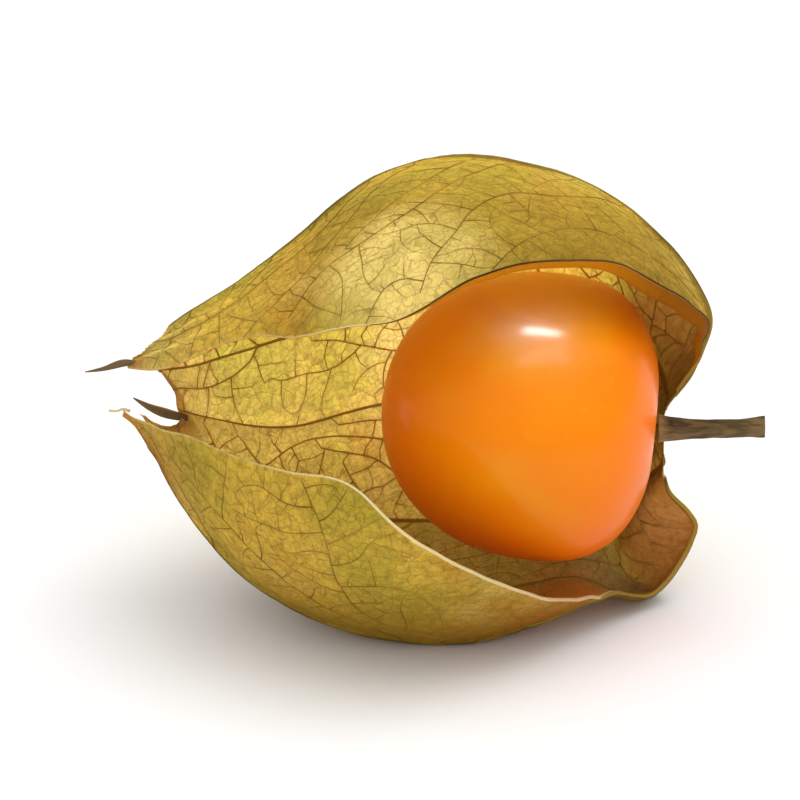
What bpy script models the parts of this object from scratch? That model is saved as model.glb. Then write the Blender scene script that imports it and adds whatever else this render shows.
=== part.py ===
"""A physalis berry (Cape gooseberry) lying on its side in its torn-open papery husk.

Three grown pieces: the berry, the husk (the dried calyx) and the stalk. The fruit's own axis runs along X,
with the stalk at +X and the husk's pointed lobes at -X. +Z is up, and the husk rests on Z = 0 on a patch
that the berry's weight has pressed flat. Everything is modelled in millimetres around the berry's centre
line, then scaled to metres and set down with the origin under the middle of the whole fruit.
"""

import math

import bmesh
import bpy
from mathutils import Vector

MM = 0.001

# Berry
BERRY_LENGTH = 19.6        # along the fruit's axis
BERRY_WIDTH = 20.5
BERRY_DIMPLE_DEPTH = 0.7   # the hollow at the stem end
BERRY_DIMPLE_RADIUS = 1.9
BERRY_WIDEST = 1.9         # how far its widest hoop is from the middle, towards the stalk
STEM_SQUARENESS = 2.5      # exponents of the two ends' outlines, 2 being round
BLOSSOM_SQUARENESS = 2.15
BERRY_CENTRE = Vector((0.0, -0.3, 14.95))
STEM_PLACE = Vector((9.8, -0.87, 14.12))   # where the stalk meets the berry; the berry's stem end faces it

# Husk
AXIS_HEIGHT = 16.0         # of the husk's own centre line above the surface it lies on
LEAN = math.radians(25.0)  # the husk's deeper half leans forward by this, so its lifts follow that slope
WALL = 0.3
ROWS = 36                  # faces from the stalk to the tips
COLUMNS = 34               # faces round the husk, from the lower torn edge to the upper one
RIB_HEIGHT = 0.035         # share of the radius that a rib stands out
FLAT_BLEND = 0.2           # how softly the pressed patch meets the round belly
FOOT_DEPTH = 4.3           # how far the shoulder on the underside is pushed down, to rest there too
FOOT_PLACE = 8.8           # along the axis
FOOT_LENGTH = 3.6
FOOT_ANGLE = -98.0
FOOT_NARROWNESS = 12       # exponent that keeps it to the underside
DISH_RIM = 10.4            # the back of the stem end is dished in to here at the stalk,
DISH_SLOPE = 0.02          # and further in by this much times the radius squared
DISH_ANGLES = (-225.0, -168.0, -117.0, -98.0)    # it fades in between the first two, and out at the last two
# One line for each hoop of the husk, from the stalk to the tips:
# (x, radius, lift of its centre, angle of the lower torn edge, angle of the upper torn edge).
# Angles turn about the axis from the front (0) through the top (90) to the back (180).
HOOPS = (
    (10.4, 1.45, -2.07, -112.0, 128.0),
    (11.6, 3.2, -2.05, -112.0, 124.0),
    (12.7, 5.2, -1.95, -110.0, 113.0),
    (13.3, 7.2, -1.7, -105.0, 96.0),
    (12.5, 9.1, -1.3, -97.0, 83.0),
    (10.0, 11.8, -0.6, -85.0, 71.5),
    (6.4, 13.8, 0.4, -69.0, 66.5),
    (1.5, 15.9, 0.2, -43.0, 61.5),
    (-3.5, 17.0, 0.0, -22.0, 54.0),
    (-8.5, 16.6, -0.4, -7.0, 46.0),
    (-12.3, 15.2, -1.1, 6.5, 48.5),
    (-15.9, 13.0, -1.8, 10.0, 53.0),
    (-19.0, 10.9, -1.95, 12.0, 60.5),
    (-21.6, 8.7, -1.6, 12.7, 62.0),
    (-24.0, 6.3, -0.9, 10.5, 56.0),
    (-26.4, 3.6, 0.3, -8.0, 53.0),
    (-28.8, 1.9, 0.9, -30.0, 70.0),
    (-31.2, 0.9, 1.2, -45.0, 100.0),
)
# The lobes round the husk: angle of the midrib, and how far along the hoops the lobe and the notch after it
# reach (1 is the last hoop).
LOBES = (
    (-65.0, 0.925, 0.85),
    (-125.0, 0.90, 0.83),
    (-185.0, 0.91, 0.83),
    (-245.0, 1.0, None),
)

# Stalk
STALK_LENGTH = 7.6
STALK_RADIUS = 0.64
STALK_FLARE = 1.05         # radius where it meets the berry
STALK_FLARE_LENGTH = 1.3
STALK_BEND = 0.9           # sideways sweep at its cut end
STALK_POINTS = 9


def clear_scene():
    for obj in list(bpy.data.objects):
        bpy.data.objects.remove(obj, do_unlink=True)


def new_material(name, colour, roughness):
    material = bpy.data.materials.new(name)
    material.use_nodes = True
    shader = material.node_tree.nodes["Principled BSDF"]
    shader.inputs["Base Color"].default_value = (*colour, 1.0)
    shader.inputs["Roughness"].default_value = roughness
    shader.inputs["Metallic"].default_value = 0.0
    return material


def add_mesh(name, bm, collection, material):
    """The finished bmesh, in millimetres, as a named object in metres."""
    bmesh.ops.scale(bm, vec=(MM, MM, MM), verts=bm.verts)
    mesh = bpy.data.meshes.new(name)
    bm.to_mesh(mesh)
    bm.free()
    mesh.shade_smooth()
    mesh.materials.append(material)
    obj = bpy.data.objects.new(name, mesh)
    collection.objects.link(obj)
    return obj


def berry_point(direction):
    """Where a point of the unit sphere lies on the berry. +Z of the sphere is the stem end."""
    stem_side = direction.z > 0
    squareness = STEM_SQUARENESS if stem_side else BLOSSOM_SQUARENESS
    across = math.hypot(direction.x, direction.y) ** (2.0 / squareness)
    along = abs(direction.z) ** (2.0 / squareness)
    radius = BERRY_WIDTH / 2 * across
    if stem_side:
        hollow = BERRY_DIMPLE_DEPTH * math.exp(-((radius / BERRY_DIMPLE_RADIUS) ** 2))
        length = (BERRY_LENGTH / 2 - BERRY_WIDEST) * along - hollow
    else:
        length = -(BERRY_LENGTH / 2 + BERRY_WIDEST) * along
    turn = math.atan2(direction.y, direction.x)
    offset = Vector((BERRY_WIDEST + length, radius * math.cos(turn), radius * math.sin(turn)))
    tilt = Vector((1.0, 0.0, 0.0)).rotation_difference(STEM_PLACE - BERRY_CENTRE)
    return BERRY_CENTRE + tilt @ offset


def make_berry(collection):
    bm = bmesh.new()
    bmesh.ops.create_uvsphere(bm, u_segments=32, v_segments=20, radius=1.0)
    for vertex in bm.verts:
        vertex.co = berry_point(vertex.co.normalized())
    material = new_material("berry_skin", (0.93, 0.33, 0.02), 0.28)
    return add_mesh("berry", bm, collection, material)


def smooth_between(values, at):
    """A smooth curve through evenly spaced values, read at `at` from 0 to 1 (Catmull-Rom)."""
    place = min(max(at, 0.0), 1.0) * (len(values) - 1)
    i = min(int(place), len(values) - 2)
    f = place - i
    before = values[max(i - 1, 0)]
    here = values[i]
    there = values[i + 1]
    after = values[min(i + 2, len(values) - 1)]
    slope_in = (there - before) / 2
    slope_out = (after - here) / 2
    rise = there - here
    return here + f * slope_in + f * f * (3 * rise - 2 * slope_in - slope_out) + f * f * f * (
        slope_in + slope_out - 2 * rise
    )


def hoop_at(along):
    """(x, radius, lift, low edge, high edge) at this share of the way from the stalk to the tips."""
    return [smooth_between([hoop[k] for hoop in HOOPS], along) for k in range(5)]


def lobe_reach(angle):
    """How far along the hoops the husk reaches at this angle: pointed lobes with notches between them."""
    first, last = LOBES[0], LOBES[-1]
    if angle >= first[0]:
        return first[1]
    if angle <= last[0]:
        return last[1]
    for lobe, following in zip(LOBES, LOBES[1:]):
        if following[0] <= angle <= lobe[0]:
            share = (lobe[0] - angle) / (lobe[0] - following[0])
            tip = lobe[1] if share < 0.5 else following[1]
            from_notch = abs(share - 0.5) * 2
            return lobe[2] + (tip - lobe[2]) * from_notch ** 1.5
    return last[1]


def pressed_flat(height):
    """Height above the surface, with what would sink below it laid flat."""
    floor = WALL / 2
    rise = height - floor
    if rise <= -FLAT_BLEND:
        return floor
    if rise >= FLAT_BLEND:
        return height
    return floor + (rise + FLAT_BLEND) ** 2 / (4 * FLAT_BLEND)


def soft_step(start, end, value):
    """0 before start, 1 past end, and a soft S between."""
    share = min(max((value - start) / (end - start), 0.0), 1.0)
    return share * share * (3 - 2 * share)


def dished(x, radius, angle):
    """Brings the back of the stem end in against the berry."""
    start, full, fading, end = DISH_ANGLES
    strength = soft_step(start, full, angle) * (1 - soft_step(fading, end, angle))
    return x - strength * max(x - (DISH_RIM - DISH_SLOPE * radius * radius), 0.0)


def husk_point(across, along):
    """A point of the husk's middle surface. across runs from the lower torn edge (0) to the upper one (1)."""
    low, high = hoop_at(along)[3:]
    angle = low - across * (360.0 - (high - low))
    reach = lobe_reach(angle)
    x, radius, lift, low, high = hoop_at(along * reach)
    angle = low - across * (360.0 - (high - low))
    ribs = RIB_HEIGHT * (1 + math.cos(math.radians((angle - LOBES[0][0]) * 6))) / 2
    turn = math.radians(angle)
    radius *= 1 - RIB_HEIGHT + ribs
    y = lift * math.sin(LEAN) - radius * math.cos(turn)
    z = AXIS_HEIGHT + lift * math.cos(LEAN) + radius * math.sin(turn)
    underside = max(math.cos(math.radians(angle - FOOT_ANGLE)), 0.0) ** FOOT_NARROWNESS
    z -= FOOT_DEPTH * underside * math.exp(-(((x - FOOT_PLACE) / FOOT_LENGTH) ** 2))
    return Vector((dished(x, radius, angle), y, pressed_flat(z)))


def make_husk(collection):
    bm = bmesh.new()
    bmesh.ops.create_grid(bm, x_segments=COLUMNS, y_segments=ROWS, size=0.5)
    for vertex in bm.verts:
        vertex.co = husk_point(vertex.co.x + 0.5, vertex.co.y + 0.5)
    bmesh.ops.recalc_face_normals(bm, faces=bm.faces)
    outward = sum((face.normal.dot(face.calc_center_median() - BERRY_CENTRE) for face in bm.faces), 0.0)
    if outward < 0:
        bmesh.ops.reverse_faces(bm, faces=bm.faces)
    material = new_material("husk_paper", (0.62, 0.50, 0.18), 0.6)
    husk = add_mesh("husk", bm, collection, material)
    wall = husk.modifiers.new("wall", "SOLIDIFY")
    wall.thickness = WALL * MM
    wall.offset = 0.0
    return husk


def make_stalk(collection):
    curve = bpy.data.curves.new("stalk", "CURVE")
    curve.dimensions = "3D"
    curve.bevel_depth = STALK_RADIUS * MM
    curve.bevel_resolution = 2
    curve.use_fill_caps = True
    spline = curve.splines.new("POLY")
    spline.points.add(STALK_POINTS - 1)
    for i, point in enumerate(spline.points):
        share = i / (STALK_POINTS - 1)
        place = STEM_PLACE + Vector((STALK_LENGTH * share, STALK_BEND * share ** 2, -0.3 * share))
        flare = (STALK_FLARE / STALK_RADIUS - 1) * math.exp(-share * STALK_LENGTH / STALK_FLARE_LENGTH)
        point.co = (*(place * MM), 1.0)
        point.radius = 1 + flare
    curve.materials.append(new_material("stalk_bark", (0.20, 0.17, 0.09), 0.75))
    stalk = bpy.data.objects.new("stalk", curve)
    collection.objects.link(stalk)
    return stalk


def finished_points(obj):
    """The object's points with its modifiers and its bevel."""
    evaluated = obj.evaluated_get(bpy.context.evaluated_depsgraph_get())
    points = [vertex.co.copy() for vertex in evaluated.to_mesh().vertices]
    evaluated.to_mesh_clear()
    return points


def set_down(objects):
    """Moves the fruit so that the origin is under the middle of its box, at the surface it lies on."""
    bpy.context.view_layer.update()
    points = [point for obj in objects for point in finished_points(obj)]
    low = Vector([min(point[k] for point in points) for k in range(3)])
    high = Vector([max(point[k] for point in points) for k in range(3)])
    middle = (low + high) / 2
    for obj in objects:
        obj.location = (-middle.x, -middle.y, -low.z)


def main():
    clear_scene()
    fruit = bpy.data.collections.new("physalis_berry")
    bpy.context.scene.collection.children.link(fruit)
    set_down([make_berry(fruit), make_husk(fruit), make_stalk(fruit)])


main()
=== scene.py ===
# %% [markdown]
# # A physalis berry in its torn husk
#
# A ripe Cape gooseberry grows inside a papery lantern: the calyx of its flower, which swells round the
# fruit and then dries. Here the fruit lies on its side, and the lantern has been torn open at the front.
# The scene has three grown pieces: the husk with its ribs and veins, the berry, and the stalk. The packed
# solids give their places and sizes, so everything below is built round them.

# %% Load the fixed frame
import itertools
import math
import random

import bpy
import numpy as np
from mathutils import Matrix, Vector, noise


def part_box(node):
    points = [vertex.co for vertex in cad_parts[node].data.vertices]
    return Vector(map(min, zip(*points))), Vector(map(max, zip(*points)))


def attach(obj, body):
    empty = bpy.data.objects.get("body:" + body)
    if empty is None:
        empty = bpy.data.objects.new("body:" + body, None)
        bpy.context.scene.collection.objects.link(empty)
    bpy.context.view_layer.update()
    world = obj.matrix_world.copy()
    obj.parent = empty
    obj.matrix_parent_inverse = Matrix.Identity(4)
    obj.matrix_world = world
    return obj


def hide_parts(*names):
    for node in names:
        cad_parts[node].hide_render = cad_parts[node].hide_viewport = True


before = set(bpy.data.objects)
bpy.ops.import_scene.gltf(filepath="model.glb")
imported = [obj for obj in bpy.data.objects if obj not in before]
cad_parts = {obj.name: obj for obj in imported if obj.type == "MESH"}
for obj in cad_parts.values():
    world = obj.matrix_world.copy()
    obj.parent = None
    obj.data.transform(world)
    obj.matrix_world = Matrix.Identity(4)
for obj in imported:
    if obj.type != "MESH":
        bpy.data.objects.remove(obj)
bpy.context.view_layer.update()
MM = 0.001
print("nodes:", sorted(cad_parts))

# %% [markdown]
# ## Where things are
#
# The husk's solid tells where the fruit lies. The shape below is described in millimetres from a point on
# the surface under the berry's middle, so that one step turns a place on the fruit into a place in the
# scene. Long things with a soft outline are easiest to describe by a few sections and a smooth curve
# through them, and that curve is the second helper.

# %% Place in the scene, and a smooth curve through evenly spaced values
husk_low, husk_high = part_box("husk")
TIP_X = -31.24             # the husk's longest tip, from the berry's middle
FRONT_SHIFT = -0.19        # the husk's middle is this far from the middle of its box
fruit_origin = np.array([husk_low.x / MM - TIP_X, (husk_low.y + husk_high.y) / 2 / MM + FRONT_SHIFT, 0.0])


def in_scene(points):
    """Millimetres round the fruit's own origin to metres in the scene."""
    return (np.asarray(points, float) + fruit_origin) * MM


def curve_through(values, at):
    """A smooth curve through evenly spaced values, read at places from 0 to 1."""
    values = np.asarray(values, float)
    place = np.clip(at, 0.0, 1.0) * (len(values) - 1)
    i = np.minimum(place.astype(int), len(values) - 2)
    f = place - i
    here, there = values[i], values[i + 1]
    slope_in = (there - values[np.maximum(i - 1, 0)]) / 2
    slope_out = (values[np.minimum(i + 2, len(values) - 1)] - here) / 2
    rise = there - here
    return here + f * slope_in + f ** 2 * (3 * rise - 2 * slope_in - slope_out) + f ** 3 * (
        slope_in + slope_out - 2 * rise)


def smooth_step(low, high, value):
    """0 below low, 1 above high, and a soft S between. With low above high it runs down."""
    share = np.clip((np.asarray(value, float) - low) / (high - low), 0.0, 1.0)
    return share * share * (3 - 2 * share)


print("fruit origin in mm:", fruit_origin.round(2))

# %% [markdown]
# ## The lantern's shape
#
# The husk is a lantern of hoops: small at the stalk, widest at the belly, drawn to a point at the lobes.
# Each hoop has a place along the axis, a radius, a lift of its centre, and the two angles where the tear
# cuts it. Angles turn about the axis from the front (0) through the top (90) to the back (180). The lobes
# are fused for most of the way, and part only near the tips, where notches run in between them.

# %% Hoops, lobes and the resting places
HOOPS = np.array([
    # x, radius, lift, lower torn edge, upper torn edge
    (10.4, 1.45, -2.07, -112.0, 128.0),
    (11.6, 3.2, -2.05, -112.0, 124.0),
    (12.7, 5.2, -1.95, -110.0, 113.0),
    (13.3, 7.2, -1.7, -105.0, 96.0),
    (12.5, 9.1, -1.3, -97.0, 83.0),
    (10.0, 11.8, -0.6, -85.0, 71.5),
    (6.4, 13.8, 0.4, -69.0, 66.5),
    (1.5, 15.9, 0.2, -43.0, 61.5),
    (-3.5, 17.0, 0.0, -22.0, 54.0),
    (-8.5, 16.6, -0.4, -7.0, 46.0),
    (-12.3, 15.2, -1.1, 6.5, 48.5),
    (-15.9, 13.0, -1.8, 10.0, 53.0),
    (-19.0, 10.9, -1.95, 12.0, 60.5),
    (-21.6, 8.7, -1.6, 12.7, 62.0),
    (-24.0, 6.3, -0.9, 10.5, 56.0),
    (-26.4, 3.6, 0.3, -8.0, 53.0),
    (-28.8, 1.9, 0.9, -30.0, 70.0),
    (-31.2, 0.9, 1.2, -45.0, 100.0),
])
MIDRIBS = (-65.0, -125.0, -185.0, -245.0)
TIP_REACH = (0.925, 0.90, 0.91, 0.915)
NOTCH_REACH = (0.85, 0.83, 0.83)
SEAMS = (-95.0, -155.0, -215.0)    # ribs between the lobes
LEAN = math.radians(25.0)
AXIS_HEIGHT = 16.0
FLAT_BLEND = 0.2
FLATTER = 0.035                                  # how much less the hoops reach between the ribs
FOOT_DEPTH, FOOT_PLACE, FOOT_LENGTH, FOOT_ANGLE = 4.3, 8.8, 3.6, -98.0
DISH_RIM, DISH_SLOPE = 10.4, 0.02                # the back of the stem end is dished in
DISH_ANGLES = (-225.0, -168.0, -117.0, -98.0)    # it fades in, is full, fades, and is gone


def hoop_at(share):
    return [curve_through(HOOPS[:, k], share) for k in range(5)]


def lobe_reach(angle):
    """How far along the hoops the husk reaches at this angle."""
    reach = np.where(angle > MIDRIBS[0], TIP_REACH[0], TIP_REACH[-1])
    for k in range(3):
        share = (MIDRIBS[k] - angle) / (MIDRIBS[k] - MIDRIBS[k + 1])
        tip = np.where(share < 0.5, TIP_REACH[k], TIP_REACH[k + 1])
        lobe = NOTCH_REACH[k] + (tip - NOTCH_REACH[k]) * np.abs(share - 0.5) ** 1.5 * 2 ** 1.5
        reach = np.where((share >= 0) & (share <= 1), lobe, reach)
    return reach


def angle_at(across, share):
    low, high = hoop_at(share)[3:]
    return low - across * (360.0 - (high - low))


def husk_surface(across, along):
    """Points, angles and shares of the husk's outside. across runs from the lower torn edge to the upper."""
    share = along * lobe_reach(angle_at(across, along))
    x, radius, lift, low, high = hoop_at(share)
    angle = angle_at(across, share)
    turn = np.radians(angle)
    at_midribs = (1 + np.cos(6 * (turn - math.radians(MIDRIBS[0])))) / 2
    reach = radius * (1 - FLATTER + FLATTER * at_midribs)
    y = lift * math.sin(LEAN) - reach * np.cos(turn)
    z = AXIS_HEIGHT + lift * math.cos(LEAN) + reach * np.sin(turn)
    under = np.maximum(np.cos(turn - math.radians(FOOT_ANGLE)), 0.0) ** 12
    z = z - FOOT_DEPTH * under * np.exp(-(((x - FOOT_PLACE) / FOOT_LENGTH) ** 2))
    start, full, fading, gone = DISH_ANGLES
    dish = smooth_step(start, full, angle) * smooth_step(gone, fading, angle)
    x = x - dish * np.maximum(x - (DISH_RIM - DISH_SLOPE * reach ** 2), 0.0)
    return np.stack([x, y, z], axis=-1), angle, share, radius


print("husk length in mm:", round(float(HOOPS[:, 0].max() - HOOPS[:, 0].min()), 1))

# %% [markdown]
# ## Relief of the paper
#
# Dried calyx is never smooth. Its ribs stand out like cords, the panels between them puff out a little,
# and the whole sheet is crumpled, most of all towards the tips and the torn edges. A displacement image
# could do this, but moving the points of a fine sheet along its own normals keeps the crumples real, so
# that they show in the outline and cast their own shade.

# %% Noise, ribs and normals
ROWS, COLUMNS = 150, 262
RIB_ANGLES = MIDRIBS + SEAMS
MIDRIB_RELIEF, SEAM_RELIEF, RIB_HALF_WIDTH = 0.30, 0.22, 0.55


def ripple(points, size, seed):
    """Smooth noise from about -1 to 1 with lumps of about this many millimetres."""
    offset = Vector((seed * 17.3, seed * 5.1, seed * 9.7))
    flat = points.reshape(-1, 3) / size
    return np.array([noise.noise(Vector(p) + offset) for p in flat]).reshape(points.shape[:-1])


def rib_relief(angle, share, radius):
    """How far the ribs lift the sheet. They fade at the stalk and at the tips."""
    height = np.zeros_like(angle)
    for rib in RIB_ANGLES:
        gap = np.radians(angle - rib) * radius
        strength = MIDRIB_RELIEF if rib in MIDRIBS else SEAM_RELIEF
        height += strength * np.exp(-((gap / RIB_HALF_WIDTH) ** 2))
    return height * smooth_step(0.0, 0.12, share) * smooth_step(1.0, 0.8, share)


def outward_normals(points):
    """Normals of a grid of points, turned so that the one in its middle points away from the axis."""
    normal = np.cross(np.gradient(points, axis=1), np.gradient(points, axis=0))
    normal /= np.maximum(np.linalg.norm(normal, axis=-1, keepdims=True), 1e-9)
    middle = points[ROWS // 2, COLUMNS // 2]
    from_axis = middle - np.array([middle[0], 0.0, AXIS_HEIGHT])
    return normal * np.sign((normal[ROWS // 2, COLUMNS // 2] * from_axis).sum())


print("ribs at", sorted(RIB_ANGLES), "degrees")

# %% Sheet of points with its relief
CRUMPLES = ((0.30, 6.5), (0.14, 2.6), (0.05, 1.1))    # how deep and how wide, in millimetres
PLEAT_DEPTH, PLEATS_ROUND, PLEAT_SEED = 0.09, 16, 4
SET_IN = 0.1                                          # the sheet lies this far inside its outline

across, along = np.meshgrid(np.linspace(0, 1, COLUMNS + 1), np.linspace(0, 1, ROWS + 1))
sheet, sheet_angle, sheet_share, sheet_radius = husk_surface(across, along)
sheet_normal = outward_normals(sheet)
low_cut, high_cut = hoop_at(sheet_share)[3:]
edge_gap = np.radians(360.0 - (high_cut - low_cut)) * sheet_radius * np.minimum(across, 1 - across)
crumple = sum(depth * ripple(sheet, size, seed) for seed, (depth, size) in enumerate(CRUMPLES, 1))
loose = 0.55 + 0.4 * smooth_step(0.6, 0.95, sheet_share) + 0.5 * smooth_step(4.0, 0.0, edge_gap)
pleat_turn = np.radians(sheet_angle) * PLEATS_ROUND + 3 * ripple(sheet, 7.0, PLEAT_SEED)
pleats = PLEAT_DEPTH * np.sin(pleat_turn) * smooth_step(0.68, 0.85, sheet_share)
relief = rib_relief(sheet_angle, sheet_share, sheet_radius) + crumple * loose + pleats
relief *= smooth_step(0.0, 0.10, sheet_share)
sheet = sheet + sheet_normal * (relief - SET_IN)[..., None]
sheet_normal = outward_normals(sheet)
print("relief from", relief.min().round(2), "to", relief.max().round(2), "mm")

# %% [markdown]
# ## The torn edges
#
# Along the tear the dried sheet turns in on itself. The upper edge has a broad hem that shows as a pale
# lip under the fold, and the lower edge has a narrow one. Each hem is a few more columns of the sheet,
# walked inwards round a small arc, which keeps it one piece with the rest. Last, everything that would
# sink below the surface the fruit lies on is laid flat.

# %% Hems
LOW_HEM, HIGH_HEM = 4, 7                   # columns in each hem
LOW_HEM_TURN, HIGH_HEM_TURN = 140.0, 100.0


def hem_columns(edge, beside, normal, length, count, turn):
    """Columns that continue the sheet past its edge and roll inwards, length millimetres in all."""
    forward = edge - beside
    forward /= np.linalg.norm(forward, axis=-1, keepdims=True)
    columns = []
    here = edge
    for k in range(count):
        bend = math.radians(turn) * (k + 1) / count
        here = here + (forward * math.cos(bend) - normal * math.sin(bend)) * (length / count)[:, None]
        columns.append(here)
    return np.stack(columns, axis=1)


low_edge_x, high_edge_x = sheet[:, 0, 0], sheet[:, -1, 0]
high_length = 0.06 + 0.55 * smooth_step(-10.0, -1.0, high_edge_x) + 0.6 * smooth_step(4.0, 9.0, high_edge_x)
high_length *= smooth_step(0.04, 0.2, sheet_share[:, -1])
low_length = 0.10 + 0.24 * smooth_step(-14.0, -9.0, low_edge_x) * smooth_step(12.0, 6.0, low_edge_x)
high_hem = hem_columns(sheet[:, -1], sheet[:, -3], sheet_normal[:, -1], high_length, HIGH_HEM, HIGH_HEM_TURN)
low_hem = hem_columns(sheet[:, 0], sheet[:, 2], sheet_normal[:, 0], low_length, LOW_HEM, LOW_HEM_TURN)
whole = np.concatenate([low_hem[:, ::-1], sheet, high_hem], axis=1)
print("hems up to", low_length.max().round(2), "and", high_length.max().round(2), "mm broad")


# %% The patch that rests
def laid_flat(height):
    """The height, with all that lies below the surface brought up to it, over a soft blend."""
    eased = (height + FLAT_BLEND) ** 2 / (4 * FLAT_BLEND)
    return np.where(height <= -FLAT_BLEND, 0.0, np.where(height >= FLAT_BLEND, height, eased))


whole[..., 2] = laid_flat(whole[..., 2])
sheet[..., 2] = laid_flat(sheet[..., 2])
print("sheet of", whole.shape[0], "by", whole.shape[1], "points, lowest at", whole[..., 2].min().round(3), "mm")

# %% [markdown]
# ## Wrapping the sheet
#
# In edit mode a flat grid could be bent and scaled hoop by hoop, but a lantern with a hundred and fifty
# hoops is wrapped more surely by moving each point of the grid to its place. The sheet then gets a wall
# with Solidify, which also closes its edges. Its own UV map is laid out in millimetres, panel by panel,
# so that the fine net of veins keeps one size all over and starts afresh at each rib, as the real one does.

# %% Helpers for every piece
def select_only(obj):
    bpy.ops.object.select_all(action="DESELECT")
    obj.select_set(True)
    bpy.context.view_layer.objects.active = obj


def face_outwards(obj):
    """Turns a closed mesh's faces outwards and shades it smooth."""
    select_only(obj)
    bpy.ops.object.mode_set(mode="EDIT")
    bpy.ops.mesh.select_all(action="SELECT")
    bpy.ops.mesh.normals_make_consistent(inside=False)
    bpy.ops.object.mode_set(mode="OBJECT")
    bpy.ops.object.shade_smooth()


def add_value(mesh, name, values):
    """A number at each vertex, for the materials to read."""
    layer = mesh.attributes.new(name, "FLOAT", "POINT")
    layer.data.foreach_set("value", np.asarray(values, np.float32).ravel())


print("solids in the scene:", len(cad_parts))

# %% Wrap the husk
bpy.ops.object.select_all(action="DESELECT")
columns_in_all = whole.shape[1] - 1
bpy.ops.mesh.primitive_grid_add(x_subdivisions=columns_in_all, y_subdivisions=ROWS, size=1.0, calc_uvs=True)
husk = bpy.context.object
husk.name = "husk_sheet"
flat = np.empty(len(husk.data.vertices) * 3)
husk.data.vertices.foreach_get("co", flat)
flat = flat.reshape(-1, 3)
column = np.rint((flat[:, 0] + 0.5) * columns_in_all).astype(int)
row = np.rint((flat[:, 1] + 0.5) * ROWS).astype(int)
husk.data.vertices.foreach_set("co", in_scene(whole[row, column]).ravel())
husk.data.update()
print("husk sheet:", len(husk.data.polygons), "faces")


# %% Values that the sheet carries
def spread(values, low_fill=None, high_fill=None):
    """A value of the plain sheet at each vertex. A hem takes its edge's value, or the one given for it."""
    low = np.repeat(values[:, :1], LOW_HEM, axis=1)
    high = np.repeat(values[:, -1:], HIGH_HEM, axis=1)
    if low_fill is not None:
        low = np.full_like(low, low_fill)
    if high_fill is not None:
        high = np.full_like(high, high_fill)
    return np.concatenate([low, values, high], axis=1)[row, column]


tip_gap = (1 - along) * 55.0 * lobe_reach(sheet_angle)     # roughly, in millimetres
add_value(husk.data, "edge_gap", spread(edge_gap, 0.0, 0.0))
add_value(husk.data, "tip_gap", spread(tip_gap))
add_value(husk.data, "reach", spread(sheet_share))
add_value(husk.data, "upper_hem", spread(np.zeros_like(along), 0.0, 1.0))
print("values:", [a.name for a in husk.data.attributes if a.data_type == "FLOAT"])

# %% Lay out the husk's UV map, panel by panel
PANEL, PANEL_SPACING = 30.0, 37.0      # a panel is this many degrees wide, and they lie this far apart
ABOVE_ALL, BELOW_ALL = 1.0, -8.0       # numbers of the panels beyond the first and the last midrib

angle_of = spread(sheet_angle)
radius_of = spread(sheet_radius)
hoop_gaps = np.linalg.norm(np.diff(HOOPS[:, :2], axis=0), axis=1)
LENGTHS = np.concatenate([[0.0], np.cumsum(hoop_gaps)])    # along the sheet, from the stalk to each hoop
length_of = curve_through(LENGTHS, spread(sheet_share))
loop_vertex = np.empty(len(husk.data.loops), int)
husk.data.loops.foreach_get("vertex_index", loop_vertex)
face_angle = np.repeat(angle_of[loop_vertex.reshape(-1, 4)].mean(axis=1), 4)
panel = np.floor((face_angle - MIDRIBS[0]) / PANEL)
panel = np.where(face_angle > MIDRIBS[0], ABOVE_ALL, panel)
panel = np.where(face_angle < MIDRIBS[-1], BELOW_ALL, panel)
panel_middle = MIDRIBS[0] + PANEL * panel + PANEL / 2
u = np.radians(angle_of[loop_vertex] - panel_middle) * radius_of[loop_vertex] + panel * PANEL_SPACING
v = length_of[loop_vertex]
husk.data.uv_layers[0].name = "net_map"
husk.data.uv_layers[0].data.foreach_set("uv", np.stack([u, v], axis=1).ravel())
print("panels:", sorted(set(panel.astype(int).tolist())))

# %% Give the husk its wall
WALL = 0.05

select_only(husk)
bpy.ops.object.mode_set(mode="EDIT")
bpy.ops.mesh.select_all(action="SELECT")
bpy.ops.mesh.normals_make_consistent(inside=False)
bpy.ops.object.mode_set(mode="OBJECT")
middle_face = husk.data.polygons[(ROWS // 2) * columns_in_all + columns_in_all // 2]
middle = Vector(middle_face.center)
axis_there = Vector(in_scene([middle.x / MM - fruit_origin[0], 0.0, AXIS_HEIGHT]))
if middle_face.normal.dot(middle - axis_there) < 0:
    husk.data.flip_normals()
for side in ("outside", "inside"):
    husk.data.materials.append(None)      # empty slots, which the two finishes fill later
wall = husk.modifiers.new("wall", "SOLIDIFY")
wall.thickness = WALL * MM
wall.offset = -1.0
wall.material_offset = 1
select_only(husk)
bpy.ops.object.modifier_apply(modifier="wall")
bpy.ops.object.shade_smooth()
print("husk with its wall:", len(husk.data.polygons), "faces")

# %% [markdown]
# ## Ribs and veins
#
# A cord-like rib runs up the middle of each lobe and along each seam, and side veins leave the midribs
# slantwise towards the tip and branch. A painted line would look flat at the edge of the husk, where the
# ribs make its outline, so each is a thin tapered tube that stands out on both faces of the sheet. They
# are poly curves with a round bevel, and their paths are read from the wrapped sheet, crumples and all.

# %% Read a place on the finished sheet
def read_grid(grid, row_at, column_at):
    """A grid's value between its points."""
    r0, c0 = np.minimum(row_at.astype(int), ROWS - 1), np.minimum(column_at.astype(int), COLUMNS - 1)
    fr, fc = (row_at - r0)[..., None], (column_at - c0)[..., None]
    near = grid[r0, c0] * (1 - fc) + grid[r0, c0 + 1] * fc
    far = grid[r0 + 1, c0] * (1 - fc) + grid[r0 + 1, c0 + 1] * fc
    return near * (1 - fr) + far * fr


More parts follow.
